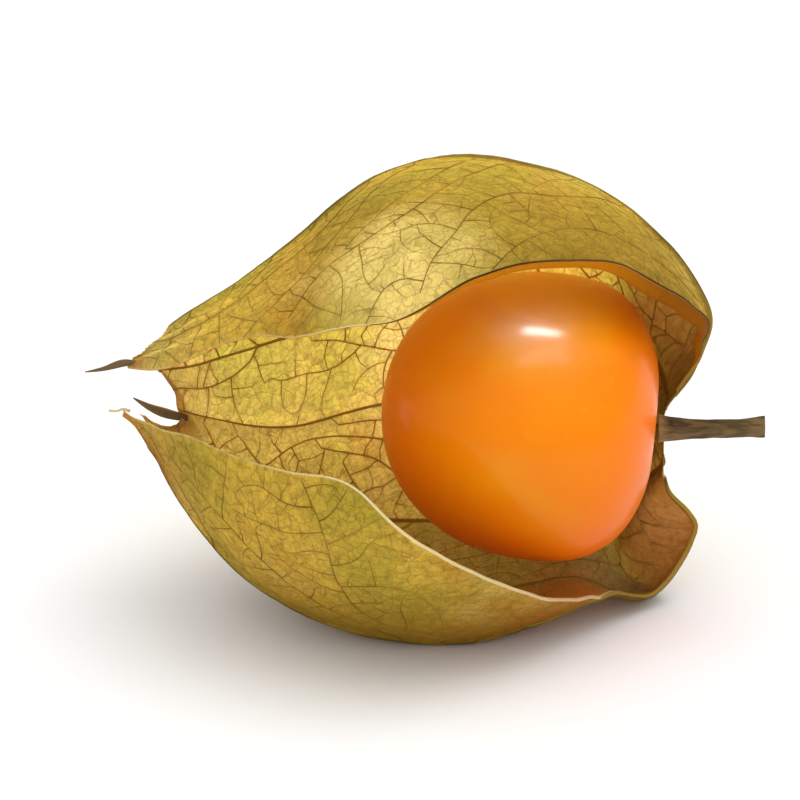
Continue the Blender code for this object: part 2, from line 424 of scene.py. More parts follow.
def on_sheet(angle, share):
    """Points and outward normals of the finished sheet at these angles and shares."""
    angle, share = np.broadcast_arrays(np.asarray(angle, float), np.asarray(share, float))
    low, high = hoop_at(share)[3:]
    across_at = np.clip((low - angle) / (360.0 - (high - low)), 0.0, 1.0)
    along_at = share / lobe_reach(angle)
    for _ in range(4):                    # the reach depends on the place that is sought
        along_at = np.clip(share / lobe_reach(angle_at(across_at, along_at)), 0.0, 1.0)
    row_at, column_at = along_at * ROWS, across_at * COLUMNS
    normals = read_grid(sheet_normal, row_at, column_at)
    return read_grid(sheet, row_at, column_at), normals / np.linalg.norm(normals, axis=-1, keepdims=True)


def inside_sheet(angle, share):
    """True where the husk has not been torn away."""
    low, high = hoop_at(share)[3:]
    return (angle < low) & (angle > high - 360.0) & (share < lobe_reach(angle))


print("middle of the husk's back in mm:", on_sheet(-180.0, 0.5)[0].round(1))


# %% Tubes
def new_tubes(name, resolution=1):
    """A curve whose bevel is one millimetre round, so that a point's radius is in millimetres."""
    curve = bpy.data.curves.new(name, "CURVE")
    curve.dimensions = "3D"
    curve.bevel_depth = MM
    curve.bevel_resolution = resolution
    curve.use_fill_caps = True
    obj = bpy.data.objects.new(name, curve)
    bpy.context.collection.objects.link(obj)
    return obj


def add_tube(curve, points, radii):
    """One tapered tube of the curve object, through points in millimetres."""
    spline = curve.splines.new("POLY")
    spline.points.add(len(points) - 1)
    for point, place, radius in zip(spline.points, in_scene(points), radii):
        point.co = (*place, 1.0)
        point.radius = radius


def tubes_to_mesh(obj):
    """The tubes as one closed mesh, with nothing below the surface that the fruit lies on."""
    select_only(obj)
    bpy.ops.object.convert(target="MESH")
    bpy.ops.object.mode_set(mode="EDIT")
    bpy.ops.mesh.select_all(action="SELECT")
    bpy.ops.mesh.remove_doubles(threshold=0.000001)
    bpy.ops.object.mode_set(mode="OBJECT")
    face_outwards(obj)
    for vertex in obj.data.vertices:
        vertex.co.z = max(vertex.co.z, 0.0)
    return obj


print("wall:", WALL, "mm, and tubes are sunk to its middle")

# %% Places on the unrolled sheet
HOOP_SHARES = np.linspace(0, 1, len(HOOPS))
CELL = 0.4                 # in millimetres
taken = {}                 # which line runs through each small cell of the unrolled sheet


def share_at(length):
    return np.interp(length, LENGTHS, HOOP_SHARES)


def length_at(share):
    return float(np.interp(share, HOOP_SHARES, LENGTHS))


def radius_at(length):
    return float(np.interp(length, LENGTHS, HOOPS[:, 1]))


def cell_of(angle, length, row=0, column=0):
    """The small cell under this place, or one some rows and columns away from it."""
    row += round(length / CELL)
    return row, round(math.radians(angle) * radius_at(row * CELL) / CELL) + column


def take(angles, lengths, line):
    for angle, length in zip(angles, lengths):
        taken.setdefault(cell_of(angle, length), (line, angle, length))


def sunk(angles, lengths):
    """The path of a line that stands out on both faces of the wall."""
    points, normals = on_sheet(np.array(angles), share_at(np.array(lengths)))
    return points - normals * (WALL / 2)


print("the sheet is", round(float(LENGTHS[-1]), 1), "mm long")

# %% Ribs
MIDRIB_RADIUS, SEAM_RADIUS = 0.19, 0.13
RIB_START, RIB_POINTS = 1.5, 140

ribs = new_tubes("husk_ribs", 2)
for number, rib in enumerate(RIB_ANGLES):
    end = length_at(lobe_reach(np.array(rib)) - 0.004)
    length = np.linspace(RIB_START, end, RIB_POINTS)
    angle = rib + 0.8 * np.sin(length * 0.45 + rib) * smooth_step(RIB_START, 12.0, length)
    size = MIDRIB_RADIUS if rib in MIDRIBS else SEAM_RADIUS
    thinner = (1 - 0.5 * smooth_step(0.45 * end, end, length)) * (0.6 + 0.4 * smooth_step(RIB_START, 6.0, length))
    add_tube(ribs.data, sunk(angle, length), size * thinner)
    take(angle, length, -1 - number)
ribs = tubes_to_mesh(ribs)
print("ribs:", len(RIB_ANGLES), "with", len(ribs.data.polygons), "faces")

# %% [markdown]
# ## How the veins grow
#
# Drawing some hundreds of veins one by one would be slow, and veins placed at random cross like scratches.
# Real ones never cross: each grows until it meets another and joins it. So each vein here walks over the
# unrolled sheet in short steps, notes the small cells that it passes, and ends where a cell is taken.
# First come the side veins of the midribs, then the cross veins between those, then the smallest.

# %% Grow one vein
STEP = 0.3                 # in millimetres
rng = random.Random(8)
line_numbers = itertools.count(1)


def grow(angle, length, heading, bend, waver, longest, line, parent):
    """A vein's path from a place on its parent. Heading 0 points to the tips, 90 to higher angles."""
    path = [(angle, length)]
    drift = 0.0
    for step in range(int(longest / STEP)):
        radius = radius_at(length)
        drift = 0.75 * drift + rng.uniform(-waver, waver)
        heading += bend * STEP + drift * STEP
        angle += math.degrees(STEP * math.sin(math.radians(heading)) / radius)
        length += STEP * math.cos(math.radians(heading))
        if not 1.0 < length < LENGTHS[-1] or not inside_sheet(np.array(angle), share_at(length)):
            break
        cells = [cell_of(angle, length, i, j) for i in (-1, 0, 1) for j in (-1, 0, 1)]
        near = [taken[key] for key in cells if key in taken]
        near = [found for found in near if found[0] != line and (found[0] != parent or step > 5)]
        if near:
            path.append(near[0][1:])
            break
        path.append((angle, length))
    take(*zip(*path), line)
    return path


def draw(curve, path, size, thinned):
    """A tapered tube along the path, through every point or every second one."""
    kept = path
    if len(path) >= 6:
        kept = path[::thinned] + ([path[-1]] if (len(path) - 1) % thinned else [])
    angles, lengths = np.array(kept).T
    add_tube(curve, sunk(angles, lengths), size * np.linspace(1.0, 0.62, len(kept)))


print("steps of", STEP, "mm over cells of", CELL, "mm")

# %% Side veins
SIDE_VEIN, CROSS_VEIN, FINE_VEIN = 0.085, 0.066, 0.048     # radii in millimetres

veins = new_tubes("husk_veins", 1)
side_veins = []
for number, (rib, tip) in enumerate(zip(MIDRIBS, TIP_REACH)):
    for side in (-1, 1):
        length = 3.5 + rng.uniform(0.0, 2.0)
        while length < length_at(tip - 0.06):
            line = next(line_numbers)
            path = grow(rib, length, side * rng.uniform(48, 62), -side * 1.3, 7.0, 24.0, line, -1 - number)
            if len(path) > 4:
                draw(veins.data, path, SIDE_VEIN, 1)
                side_veins.append((line, path))
            length += rng.uniform(3.0, 4.6)
print("side veins:", len(side_veins))


# %% Cross veins
def cross_veins(parents, gap, longest, size, waver):
    """Veins that leave their parents almost squarely, first on one side, then on the other."""
    children = []
    for parent, path in parents:
        side = rng.choice((-1, 1))
        place = int(rng.uniform(0.4, 1.0) * gap / STEP)
        while place < len(path) - 2:
            (a0, l0), (a1, l1) = path[place], path[place + 1]
            ahead = math.degrees(math.atan2(math.radians(a1 - a0) * radius_at(l0), l1 - l0))
            line = next(line_numbers)
            heading, bend = ahead + side * rng.uniform(65, 100), rng.uniform(-5, 5)
            child = grow(a0, l0, heading, bend, waver, longest, line, parent)
            if len(child) > 3:
                draw(veins.data, child, size, 2)
                children.append((line, child))
            side = -side
            place += int(rng.uniform(0.6, 1.3) * gap / STEP)
    return children


second = cross_veins(side_veins, 1.4, 8.0, CROSS_VEIN, 16.0)
third = cross_veins(second, 1.1, 4.0, FINE_VEIN, 20.0)
veins = tubes_to_mesh(veins)
print("cross veins:", len(second), "and", len(third), "- in all", len(veins.data.polygons), "faces")

# %% [markdown]
# ## The fold line and the tips
#
# A thin dark vein runs in the fold of the upper hem. The longest lobe ends in a dry dark beak, one lobe at
# the back is rolled into a small horn, and the lowest lobe ends in a pale thread. They are short tapered
# tubes that carry on from the ends of the lobes.

# %% Fold line
FOLD_RADIUS, FOLD_END_RADIUS, FOLD_LIFT = 0.055, 0.02, 0.02

fold = new_tubes("husk_fold", 1)
fold_rows = np.arange(int(0.12 * ROWS), int(0.62 * ROWS))
count = len(fold_rows)
k = np.arange(count)
fold_radii = FOLD_RADIUS * smooth_step(0, 12, k) * smooth_step(count, count - 14, k) + FOLD_END_RADIUS
add_tube(fold.data, sheet[fold_rows, -1] + sheet_normal[fold_rows, -1] * FOLD_LIFT, fold_radii)
fold = tubes_to_mesh(fold)
print("fold line:", len(fold.data.polygons), "faces")

# %% Tips
TIP_STEPS = 16
HORN_ANGLE = -150.0


def add_tip(curve, start, bends, radii):
    """A tapered tube of the curve through a few places given from its start."""
    t = np.linspace(0, 1, TIP_STEPS)
    corners = np.array([(0.0, 0.0, 0.0)] + list(bends))
    path = np.stack([curve_through(corners[:, k], t) for k in range(3)], axis=1) + start
    add_tube(curve, path, curve_through(radii, t))


upper_tip = (sheet[-1, -1] + sheet[-1, -6]) / 2
lower_tip = sheet[-1, 0]
horn_start = on_sheet(HORN_ANGLE, NOTCH_REACH[1] - 0.01)[0]
print("lobe ends in mm:", upper_tip.round(1), lower_tip.round(1), horn_start.round(1))
tips = new_tubes("husk_tips", 3)
add_tip(tips.data, upper_tip + (0.9, 0.0, 0.3),
        [(-1.2, 0, -0.05), (-2.6, 0, -0.5), (-3.9, 0, -0.75)], [0.08, 0.27, 0.16, 0.04])
add_tip(tips.data, horn_start + (0.0, 0.0, 0.1),
        [(-1.5, -0.3, 0.55), (-2.7, -0.5, 1.15), (-3.8, -0.6, 1.9)], [0.24, 0.36, 0.24, 0.05])
tips = tubes_to_mesh(tips)
thread = new_tubes("husk_thread", 3)
add_tip(thread.data, lower_tip + (0.5, 0.0, 0.0),
        [(-0.5, 0, 0.15), (-1.0, 0, 0.0), (-1.5, 0, 0.05)], [0.12, 0.10, 0.08, 0.10])
thread = tubes_to_mesh(thread)
print("beak, horn and thread:", len(tips.data.polygons) + len(thread.data.polygons), "faces")

# %% [markdown]
# ## The berry
#
# The berry is close to a ball, but its widest hoop sits nearer the stalk: that end is squarer, with a
# shallow dimple, and the blossom end is drawn out and rounder. A ball primitive is stood with a pole at
# each end and its points are moved to that outline. The dark dot of the flower's style is left at the
# blossom end.

# %% Shape the berry
BERRY_MIDDLE = np.array([0.0, -0.3, 14.95])
STEM_PLACE = np.array([9.8, -0.87, 14.12])
BERRY_LENGTH, BERRY_WIDTH, BERRY_WIDEST = 19.6, 20.5, 1.9
STEM_SQUARENESS, BLOSSOM_SQUARENESS = 2.5, 2.15
DIMPLE_DEPTH, DIMPLE_RADIUS = 0.7, 1.9
NUB_HEIGHT, NUB_RADIUS, MOAT_DEPTH, MOAT_RADIUS = 0.07, 0.5, 0.04, 1.3
DENT_DEPTH, DENT_SIZE = 0.05, 4.5

bpy.ops.object.select_all(action="DESELECT")
bpy.ops.mesh.primitive_uv_sphere_add(segments=128, ring_count=96, radius=1.0)
berry = bpy.context.object
berry.name = "berry_flesh"
tilt = Vector((1, 0, 0)).rotation_difference(Vector(STEM_PLACE - BERRY_MIDDLE))
for vertex in berry.data.vertices:
    d = vertex.co.normalized()
    stem_side = d.z > 0
    power = 2.0 / (STEM_SQUARENESS if stem_side else BLOSSOM_SQUARENESS)
    radius = BERRY_WIDTH / 2 * math.hypot(d.x, d.y) ** power
    if stem_side:
        dimple = DIMPLE_DEPTH * math.exp(-((radius / DIMPLE_RADIUS) ** 2))
        length = (BERRY_LENGTH / 2 - BERRY_WIDEST) * d.z ** power - dimple
    else:
        nub = NUB_HEIGHT * math.exp(-((radius / NUB_RADIUS) ** 2))
        nub -= MOAT_DEPTH * math.exp(-((radius / MOAT_RADIUS) ** 2))
        length = -(BERRY_LENGTH / 2 + BERRY_WIDEST) * abs(d.z) ** power - nub
    turn = math.atan2(d.y, d.x)
    swell = 1 + 0.006 * math.sin(2 * turn + 1.0) + 0.004 * math.sin(3 * turn)
    place = Vector((BERRY_WIDEST + length, radius * swell * math.cos(turn), radius * swell * math.sin(turn)))
    place = np.array(tilt @ place) + BERRY_MIDDLE
    place = place + DENT_DEPTH * noise.noise(Vector(place) / DENT_SIZE)
    vertex.co = in_scene(place)
face_outwards(berry)
blossom_end = in_scene(np.array(tilt @ Vector((-BERRY_LENGTH / 2, 0, 0))) + BERRY_MIDDLE)
stem_end = in_scene(STEM_PLACE)
print("berry's size in mm:", [round(c / MM, 1) for c in berry.dimensions])

# %% [markdown]
# ## The stalk
#
# The stalk is a dry ridged stem that flares where it joins the fruit and was cut off square at its far
# end. It starts as a circle facing along the axis and is drawn out by extruding, one step at a time, each
# step moved and scaled a little. The ridges are pressed in afterwards by moving its points.

# %% Draw out the stalk
STALK_LENGTH, STALK_RADIUS, STALK_FLARE = 7.6, 0.64, 1.05
FLARE_LENGTH, CUT_SWELL = 1.3, 0.10
SWING, DROP = 0.9, -0.3        # how far its end has moved to the back and down
STEPS = 26

bpy.ops.object.select_all(action="DESELECT")
bpy.ops.mesh.primitive_circle_add(vertices=40, radius=STALK_FLARE * MM, fill_type="NOTHING",
                                  location=tuple(in_scene(STEM_PLACE)), rotation=(0, math.pi / 2, 0))
stalk = bpy.context.object
stalk.name = "stalk_stem"
bpy.ops.object.transform_apply(location=True, rotation=True, scale=True)
bpy.ops.object.mode_set(mode="EDIT")
bpy.ops.mesh.select_all(action="SELECT")
bpy.ops.mesh.edge_face_add()
bpy.ops.mesh.select_all(action="SELECT")
before = STALK_FLARE
for step in range(1, STEPS + 1):
    share, last = step / STEPS, (step - 1) / STEPS
    now = STALK_RADIUS + (STALK_FLARE - STALK_RADIUS) * math.exp(-share * STALK_LENGTH / FLARE_LENGTH)
    now += CUT_SWELL * smooth_step(0.8, 1.0, share)
    move = (STALK_LENGTH / STEPS, SWING * (share ** 2 - last ** 2), DROP / STEPS)
    bpy.ops.mesh.extrude_region_move(TRANSFORM_OT_translate={"value": tuple(c * MM for c in move)})
    bpy.ops.transform.resize(value=(1.0, now / before, now / before))
    before = now
bpy.ops.mesh.inset(thickness=0.14 * MM)
bpy.ops.transform.translate(value=(-0.10 * MM, 0, 0))
bpy.ops.mesh.inset(thickness=0.12 * MM)
bpy.ops.mesh.select_all(action="SELECT")
bpy.ops.mesh.normals_make_consistent(inside=False)
bpy.ops.object.mode_set(mode="OBJECT")
print("stalk:", len(stalk.data.polygons), "faces")

# %% Press in the ridges
for vertex in stalk.data.vertices:
    place = np.array(vertex.co) / MM - fruit_origin
    share = (place[0] - STEM_PLACE[0]) / STALK_LENGTH
    axis = STEM_PLACE + np.array([place[0] - STEM_PLACE[0], SWING * max(share, 0) ** 2, DROP * share])
    out = place - axis
    turn = math.atan2(out[2], out[1])
    ridge = 0.10 * abs(math.sin(2.5 * turn + 0.5 * share)) - 0.05
    rough = 0.07 * noise.noise(Vector((place[0] / 0.9, out[1] * 1.6, out[2] * 1.6)))
    place = axis + out * (1 + ridge + rough)
    vertex.co = in_scene(place)
select_only(stalk)
bpy.ops.object.shade_smooth_by_angle(angle=math.radians(50))
print("stalk ends at x", round(max(c[0] for c in stalk.bound_box) / MM, 2), "mm")

# %% [markdown]
# ## Making materials by hand
#
# Every finish here is built from nodes. Small helpers keep the cells short: one adds a node and fills its
# inputs, with values or with the outputs of other nodes, and one turns a colour as a painter would mix it
# on screen, 0 to 255, into the linear light that a shader wants. What more than one finish uses is a node
# group, built once and placed in each with its own values.

# %% Node helpers
def paint(red, green, blue):
    """A screen colour from 0 to 255 as linear RGBA."""
    def linear(c):
        c /= 255.0
        return c / 12.92 if c <= 0.04045 else ((c + 0.055) / 1.055) ** 2.4
    return (linear(red), linear(green), linear(blue), 1.0)


def node(tree, kind, inputs=(), **settings):
    """A new node with its settings, and its inputs given by name or number."""
    made = tree.nodes.new(kind)
    for name, value in settings.items():
        setattr(made, name, value)
    for key, value in dict(inputs).items():
        if isinstance(value, bpy.types.NodeSocket):
            tree.links.new(value, made.inputs[key])
        else:
            made.inputs[key].default_value = value
    return made


def math_node(tree, operation, a, b=0.0):
    return node(tree, "ShaderNodeMath", {0: a, 1: b}, operation=operation).outputs[0]


def vector_node(tree, operation, inputs):
    return node(tree, "ShaderNodeVectorMath", inputs, operation=operation).outputs


def part_of(tree, vector, axis):
    return node(tree, "ShaderNodeSeparateXYZ", {0: vector}).outputs[axis]


def distance_to(tree, place, spot):
    return vector_node(tree, "DISTANCE", {0: place, 1: tuple(spot)})["Value"]


def value_of(tree, name):
    return node(tree, "ShaderNodeAttribute", attribute_name=name).outputs["Fac"]


def bumped(tree, height, strength, distance, normal=None):
    """The normal that a height gives, on top of another where there is one."""
    inputs = {"Height": height, "Strength": strength, "Distance": distance}
    if normal is not None:
        inputs["Normal"] = normal
    return node(tree, "ShaderNodeBump", inputs).outputs[0]


print("a mid grey is", round(paint(128, 128, 128)[0], 3), "in linear light")


# %% Colour helpers
def mix_colours(tree, factor, a, b, blend="MIX"):
    made = node(tree, "ShaderNodeMix", {0: factor, 6: a, 7: b}, data_type="RGBA", blend_type=blend)
    return made.outputs[2]


def tint(tree, colour, mask, strength, tone):
    """The colour drawn towards a tone where the mask says, as far as the strength says."""
    return mix_colours(tree, math_node(tree, "MULTIPLY", mask, strength), colour, tone)


def ease(tree, value, low, high, start=0.0, end=1.0):
    """start below low, end above high, and a soft S between."""
    made = node(tree, "ShaderNodeMapRange", {"Value": value, "From Min": low, "From Max": high,
                                             "To Min": start, "To Max": end}, interpolation_type="SMOOTHSTEP")
    return made.outputs[0]


def mottle(tree, vector, scale, detail=2.0):
    """Cloudy noise, its value round 0.5."""
    return node(tree, "ShaderNodeTexNoise", {"Vector": vector, "Scale": scale, "Detail": detail}).outputs[0]


def new_material(name):
    material = bpy.data.materials.new(name)
    material.use_nodes = True
    material.node_tree.nodes.clear()
    return material, material.node_tree


def new_group(name, inputs, outputs):
    """A node group with these sockets, given as name: kind, and what its entry puts out."""
    group = bpy.data.node_groups.new(name, "ShaderNodeTree")
    for in_out, sockets in (("INPUT", inputs), ("OUTPUT", outputs)):
        for socket, kind in sockets.items():
            group.interface.new_socket(socket, in_out=in_out, socket_type="NodeSocket" + kind)
    return group, node(group, "NodeGroupInput").outputs


def thin_leaf(tree, colour, roughness, normal, specular, softened, glow):
    """A dull surface that lets a share of the light, the glow, through. Its colour there is softened."""
    surface = node(tree, "ShaderNodeBsdfPrincipled", {"Base Color": colour, "Roughness": roughness,
                                                      "Specular IOR Level": specular, "Normal": normal})
    lit = node(tree, "ShaderNodeGamma", {"Color": colour, "Gamma": softened}).outputs[0]
    through = node(tree, "ShaderNodeBsdfTranslucent", {"Color": lit, "Normal": normal})
    return node(tree, "ShaderNodeMixShader", {0: glow, 1: surface.outputs[0], 2: through.outputs[0]}).outputs[0]


def finish_surface(tree, shader):
    node(tree, "ShaderNodeOutputMaterial", {"Surface": shader})


print("helpers ready")

# %% [markdown]
# ## The net of fine veins
#
# Between the side veins a net of small veins fills each panel, and inside each of its cells lies a finer
# net still. The distance to the edges of Voronoi cells draws both. A little noise bends their straight
# sides. Both faces of the husk use the net, so it is one node group: it takes the net map and gives the
# two masks and a height.

# %% Vein net group
NET_LINE, FINE_LINE = 0.085, 0.07      # how thick the lines are, in millimetres
net, given = new_group("Fine vein net", {"Map": "Vector", "Net size": "Float", "Fine size": "Float"},
                       {"Net": "Float", "Fine net": "Float", "Height": "Float"})
bend = node(net, "ShaderNodeTexNoise", {"Vector": given["Map"], "Scale": 0.9, "Detail": 2.0},
            noise_dimensions="2D")
shift = vector_node(net, "SUBTRACT", {0: bend.outputs["Color"], 1: (0.5, 0.5, 0.5)})[0]
shift = vector_node(net, "SCALE", {0: shift, "Scale": 1.3})[0]
bent = vector_node(net, "ADD", {0: given["Map"], 1: shift})[0]


def net_lines(size, thickness):
    """A mask of lines round cells of this size, and the distance to them in millimetres."""
    scale = math_node(net, "DIVIDE", 1.0, size)
    cells = node(net, "ShaderNodeTexVoronoi", {"Vector": bent, "Scale": scale, "Randomness": 0.9},
                 voronoi_dimensions="2D", feature="DISTANCE_TO_EDGE")
    gap = math_node(net, "MULTIPLY", cells.outputs["Distance"], size)
    return ease(net, gap, thickness, thickness * 0.25), gap


coarse, coarse_gap = net_lines(given["Net size"], NET_LINE)
fine, fine_gap = net_lines(given["Fine size"], FINE_LINE)
puff = math_node(net, "ADD", ease(net, coarse_gap, 0.0, 0.9, 0.0, 0.8), ease(net, fine_gap, 0.0, 0.3, 0.0, 0.2))
node(net, "NodeGroupOutput", {"Net": coarse, "Fine net": fine, "Height": puff})
print("net group:", len(net.nodes), "nodes")

# %% [markdown]
# ## Dried paper
#
# Outside, the paper is olive and gold in clouds, browner on its belly and tan at the tips, with painted
# shade that darkens its crown, a pale patch painted as light shining through the upper lobe, and cream
# along the torn edge. Inside it is paler and yellower, with painted shade by the stalk and painted orange
# light under the berry, as if bounced from it. The clouds are a node group of noise on Object coordinates,
# placed in both finishes with its own tones. The rest comes from height, from nearness to a few spots, and
# from the values that the sheet carries. Dried calyx lets light through, so each finish is a dull
# Principled surface mixed with a Translucent one.

# %% Clouded paper group
TONES = ("Ground", "Gold", "Brown", "Pale")
clouded_paper, given = new_group("Clouded paper", {"Place": "Vector", **dict.fromkeys(TONES, "Color")},
                                 {"Colour": "Color", "Clouds": "Float", "Roughness": "Float", "Crackle": "Float"})
tree, place = clouded_paper, given["Place"]
clouds = ease(tree, mottle(tree, place, 130.0, 3.0), 0.40, 0.62)
patches = ease(tree, mottle(tree, place, 75.0), 0.52, 0.70)
bright = ease(tree, mottle(tree, place, 100.0, 2.5), 0.55, 0.75)
grain = ease(tree, mottle(tree, place, 1400.0, 3.0), 0.3, 0.7, 0.86, 1.12)
grey_grain = node(tree, "ShaderNodeCombineColor", {0: grain, 1: grain, 2: grain}).outputs[0]
colour = mix_colours(tree, clouds, given["Ground"], given["Gold"])
colour = tint(tree, colour, patches, 0.55, given["Brown"])
colour = tint(tree, colour, bright, 0.65, given["Pale"])
colour = mix_colours(tree, 1.0, colour, grey_grain, "MULTIPLY")
roughness = ease(tree, mottle(tree, place, 300.0), 0.3, 0.7, 0.52, 0.72)
node(tree, "NodeGroupOutput", {"Colour": colour, "Clouds": clouds, "Roughness": roughness,
                               "Crackle": mottle(tree, place, 900.0, 4.0)})
print("paper group:", len(clouded_paper.nodes), "nodes")

# %% Husk materials
NET_SIZE, FINE_SIZE = 1.15, 0.5            # in millimetres
GLOW_PATCH_SPOT = in_scene((-8.6, -8.4, 30.0))
BROWNED_SPOT = in_scene((8.0, -6.0, 27.0))
BERRY_BOUNCE_SPOT = in_scene((3.0, -4.0, 5.0))   # under the berry: painted orange light, as if bounced from the berry
HEM_CREAM = paint(240, 226, 178)
PAPER_BUMP, PAPER_SHINE, PAPER_SOFTENED, LEAF_GLOW = 0.00012, 0.07, 0.62, 0.5


def husk_material(name, tones, line, net_strength, fine_strength, by_stalk, belly):
    """Dried calyx with its net. The strengths say how much of the lines, the painted shade by the stalk
    and the brown of the belly it has, from 0 to 1. The strength of the painted shade by the stalk also sets
    the painted orange light under the berry."""
    material, tree = new_material(name)
    place = node(tree, "ShaderNodeTexCoord").outputs["Object"]
    paper = node(tree, "ShaderNodeGroup", {"Place": place, **dict(zip(TONES, tones))},
                 node_tree=clouded_paper).outputs
    net_map = node(tree, "ShaderNodeUVMap", uv_map="net_map").outputs[0]
    lines = node(tree, "ShaderNodeGroup", {"Map": net_map, "Net size": NET_SIZE, "Fine size": FINE_SIZE},
                 node_tree=net).outputs
    height, reach = part_of(tree, place, 2), value_of(tree, "reach")
    turned_in = value_of(tree, "upper_hem")
    tip_tone = mix_colours(tree, ease(tree, height, 0.014, 0.018), paint(168, 118, 66), paint(216, 194, 124))
    glow_patch_strength = ease(tree, paper["Clouds"], 0.0, 1.0, 0.5, 0.95)
    stalk_shade = math_node(tree, "MAXIMUM", by_stalk, math_node(tree, "MULTIPLY", turned_in, 0.5))
    colour = paper["Colour"]
    for mask, strength, tone in (
        (ease(tree, height, 0.010, 0.001), belly, paint(138, 100, 20)),
        # painted shade: the crown is darkened to hold back the light from overhead
        (ease(tree, height, 0.025, 0.032), 0.4, paint(152, 128, 48)),
        (ease(tree, distance_to(tree, place, BROWNED_SPOT), 0.013, 0.005), 0.45, paint(146, 114, 30)),
        (ease(tree, reach, 0.74, 0.95), 0.6, tip_tone),
        # painted light: a pale patch on the upper lobe where light shines through it
        (ease(tree, distance_to(tree, place, GLOW_PATCH_SPOT), 0.0085, 0.003), glow_patch_strength, paint(246, 228, 140)),
        (ease(tree, value_of(tree, "tip_gap"), 2.6, 0.4), 0.75, paint(166, 110, 46)),
        (lines["Fine net"], fine_strength, line),
        (lines["Net"], net_strength, line),
        (ease(tree, value_of(tree, "edge_gap"), 0.16, 0.02), ease(tree, reach, 0.72, 0.58, 0.3, 0.9), HEM_CREAM),
        # painted light: orange light bounced from the berry onto the wall under it
        (ease(tree, distance_to(tree, place, BERRY_BOUNCE_SPOT), 0.011, 0.003), by_stalk * 0.9, paint(236, 134, 16)),
        (turned_in, 1.0, paint(208, 134, 18)),
        (ease(tree, reach, 0.39, 0.28), stalk_shade, paint(116, 46, 0)),
    ):
        colour = tint(tree, colour, mask, strength, tone)
    normal = bumped(tree, lines["Height"], 0.7, PAPER_BUMP)
    normal = bumped(tree, paper["Crackle"], 0.35, PAPER_BUMP, normal)
    leaf = thin_leaf(tree, colour, paper["Roughness"], normal, PAPER_SHINE, PAPER_SOFTENED, LEAF_GLOW)
    finish_surface(tree, leaf)
    return material


outside_tones = (paint(176, 158, 58), paint(202, 172, 70), paint(182, 138, 56), paint(230, 210, 126))
inside_tones = (paint(246, 240, 142), paint(252, 238, 156), paint(242, 200, 96), paint(254, 242, 190))
husk.data.materials[0] = husk_material("husk_outside", outside_tones, paint(108, 84, 28), 0.34, 0.22, 0.15, 0.75)
husk.data.materials[1] = husk_material("husk_inside", inside_tones, paint(172, 130, 56), 0.4, 0.3, 0.9, 0.1)
print("husk slots:", [m.name for m in husk.data.materials])

# %% Cord tones group
CORD_TONES = ("Dark", "Light", "Tip", "Inner painted light")
cord_tones, given = new_group("Cord tones", {"Place": "Vector", "Normal": "Vector",
                                             **dict.fromkeys(CORD_TONES, "Color")},
                              {"Colour": "Color", "Grain": "Float"})
tree, place = cord_tones, given["Place"]
colour = mix_colours(tree, ease(tree, mottle(tree, place, 260.0, 3.0), 0.35, 0.65), given["Dark"], given["Light"])
colour = mix_colours(tree, ease(tree, part_of(tree, place, 0), -0.012, -0.024), colour, given["Tip"])
from_axis = vector_node(tree, "SUBTRACT", {0: place, 1: tuple(in_scene((0.0, 0.0, AXIS_HEIGHT)))})[0]
outwards = vector_node(tree, "MULTIPLY", {0: from_axis, 1: (0.0, 1.0, 1.0)})[0]
faces_out = vector_node(tree, "DOT_PRODUCT", {0: outwards, 1: given["Normal"]})["Value"]
# painted light: the side that faces inside the husk takes a lighter tone, standing in for light coming through it
colour = mix_colours(tree, ease(tree, faces_out, 0.003, -0.001), colour, given["Inner painted light"])
node(tree, "NodeGroupOutput", {"Colour": colour, "Grain": mottle(tree, place, 1800.0, 3.0)})
print("cord group:", len(cord_tones.nodes), "nodes")

# %% Rib and vein materials
CORD_BUMP, CORD_SHINE, CORD_SOFTENED = 0.00008, 0.1, 0.55


def cord_material(name, tones, roughness, glow=LEAF_GLOW):
    """A dry cord. Its tones are two that cloud, one for the tips, and one for the side inside the husk, painted
    lighter there as light coming through the husk.
    """
    material, tree = new_material(name)
    spot = node(tree, "ShaderNodeTexCoord").outputs
    cord = node(tree, "ShaderNodeGroup", {"Place": spot["Object"], "Normal": spot["Normal"],
                                          **dict(zip(CORD_TONES, tones))}, node_tree=cord_tones).outputs
    normal = bumped(tree, cord["Grain"], 0.4, CORD_BUMP)
    finish_surface(tree, thin_leaf(tree, cord["Colour"], roughness, normal, CORD_SHINE, CORD_SOFTENED, glow))
    return material


# the last tone of the ribs and veins is lighter: painted light on the side inside the husk
rib_tones = (paint(98, 88, 40), paint(138, 122, 60), paint(104, 84, 42), paint(178, 142, 62))
vein_tones = (paint(126, 96, 32), paint(168, 136, 54), paint(140, 104, 42), paint(200, 158, 72))
fold_tones = (paint(72, 50, 22), paint(104, 78, 36), paint(104, 76, 36), paint(104, 76, 36))
thread_tones = (paint(170, 160, 120), paint(214, 204, 164), paint(190, 178, 136), paint(190, 178, 136))
tip_tones = (paint(96, 80, 48), paint(140, 122, 74), paint(104, 84, 56), paint(104, 84, 56))
ribs.data.materials.append(cord_material("rib_cord", rib_tones, 0.75))
veins.data.materials.append(cord_material("vein_cord", vein_tones, 0.75))
fold.data.materials.append(cord_material("fold_cord", fold_tones, 0.75))
thread.data.materials.append(cord_material("thread_cord", thread_tones, 0.7))
tips.data.materials.append(cord_material("tip_cord", tip_tones, 0.7, 0.2))
print("cords:", [piece.data.materials[0].name for piece in (ribs, veins, fold, thread, tips)])
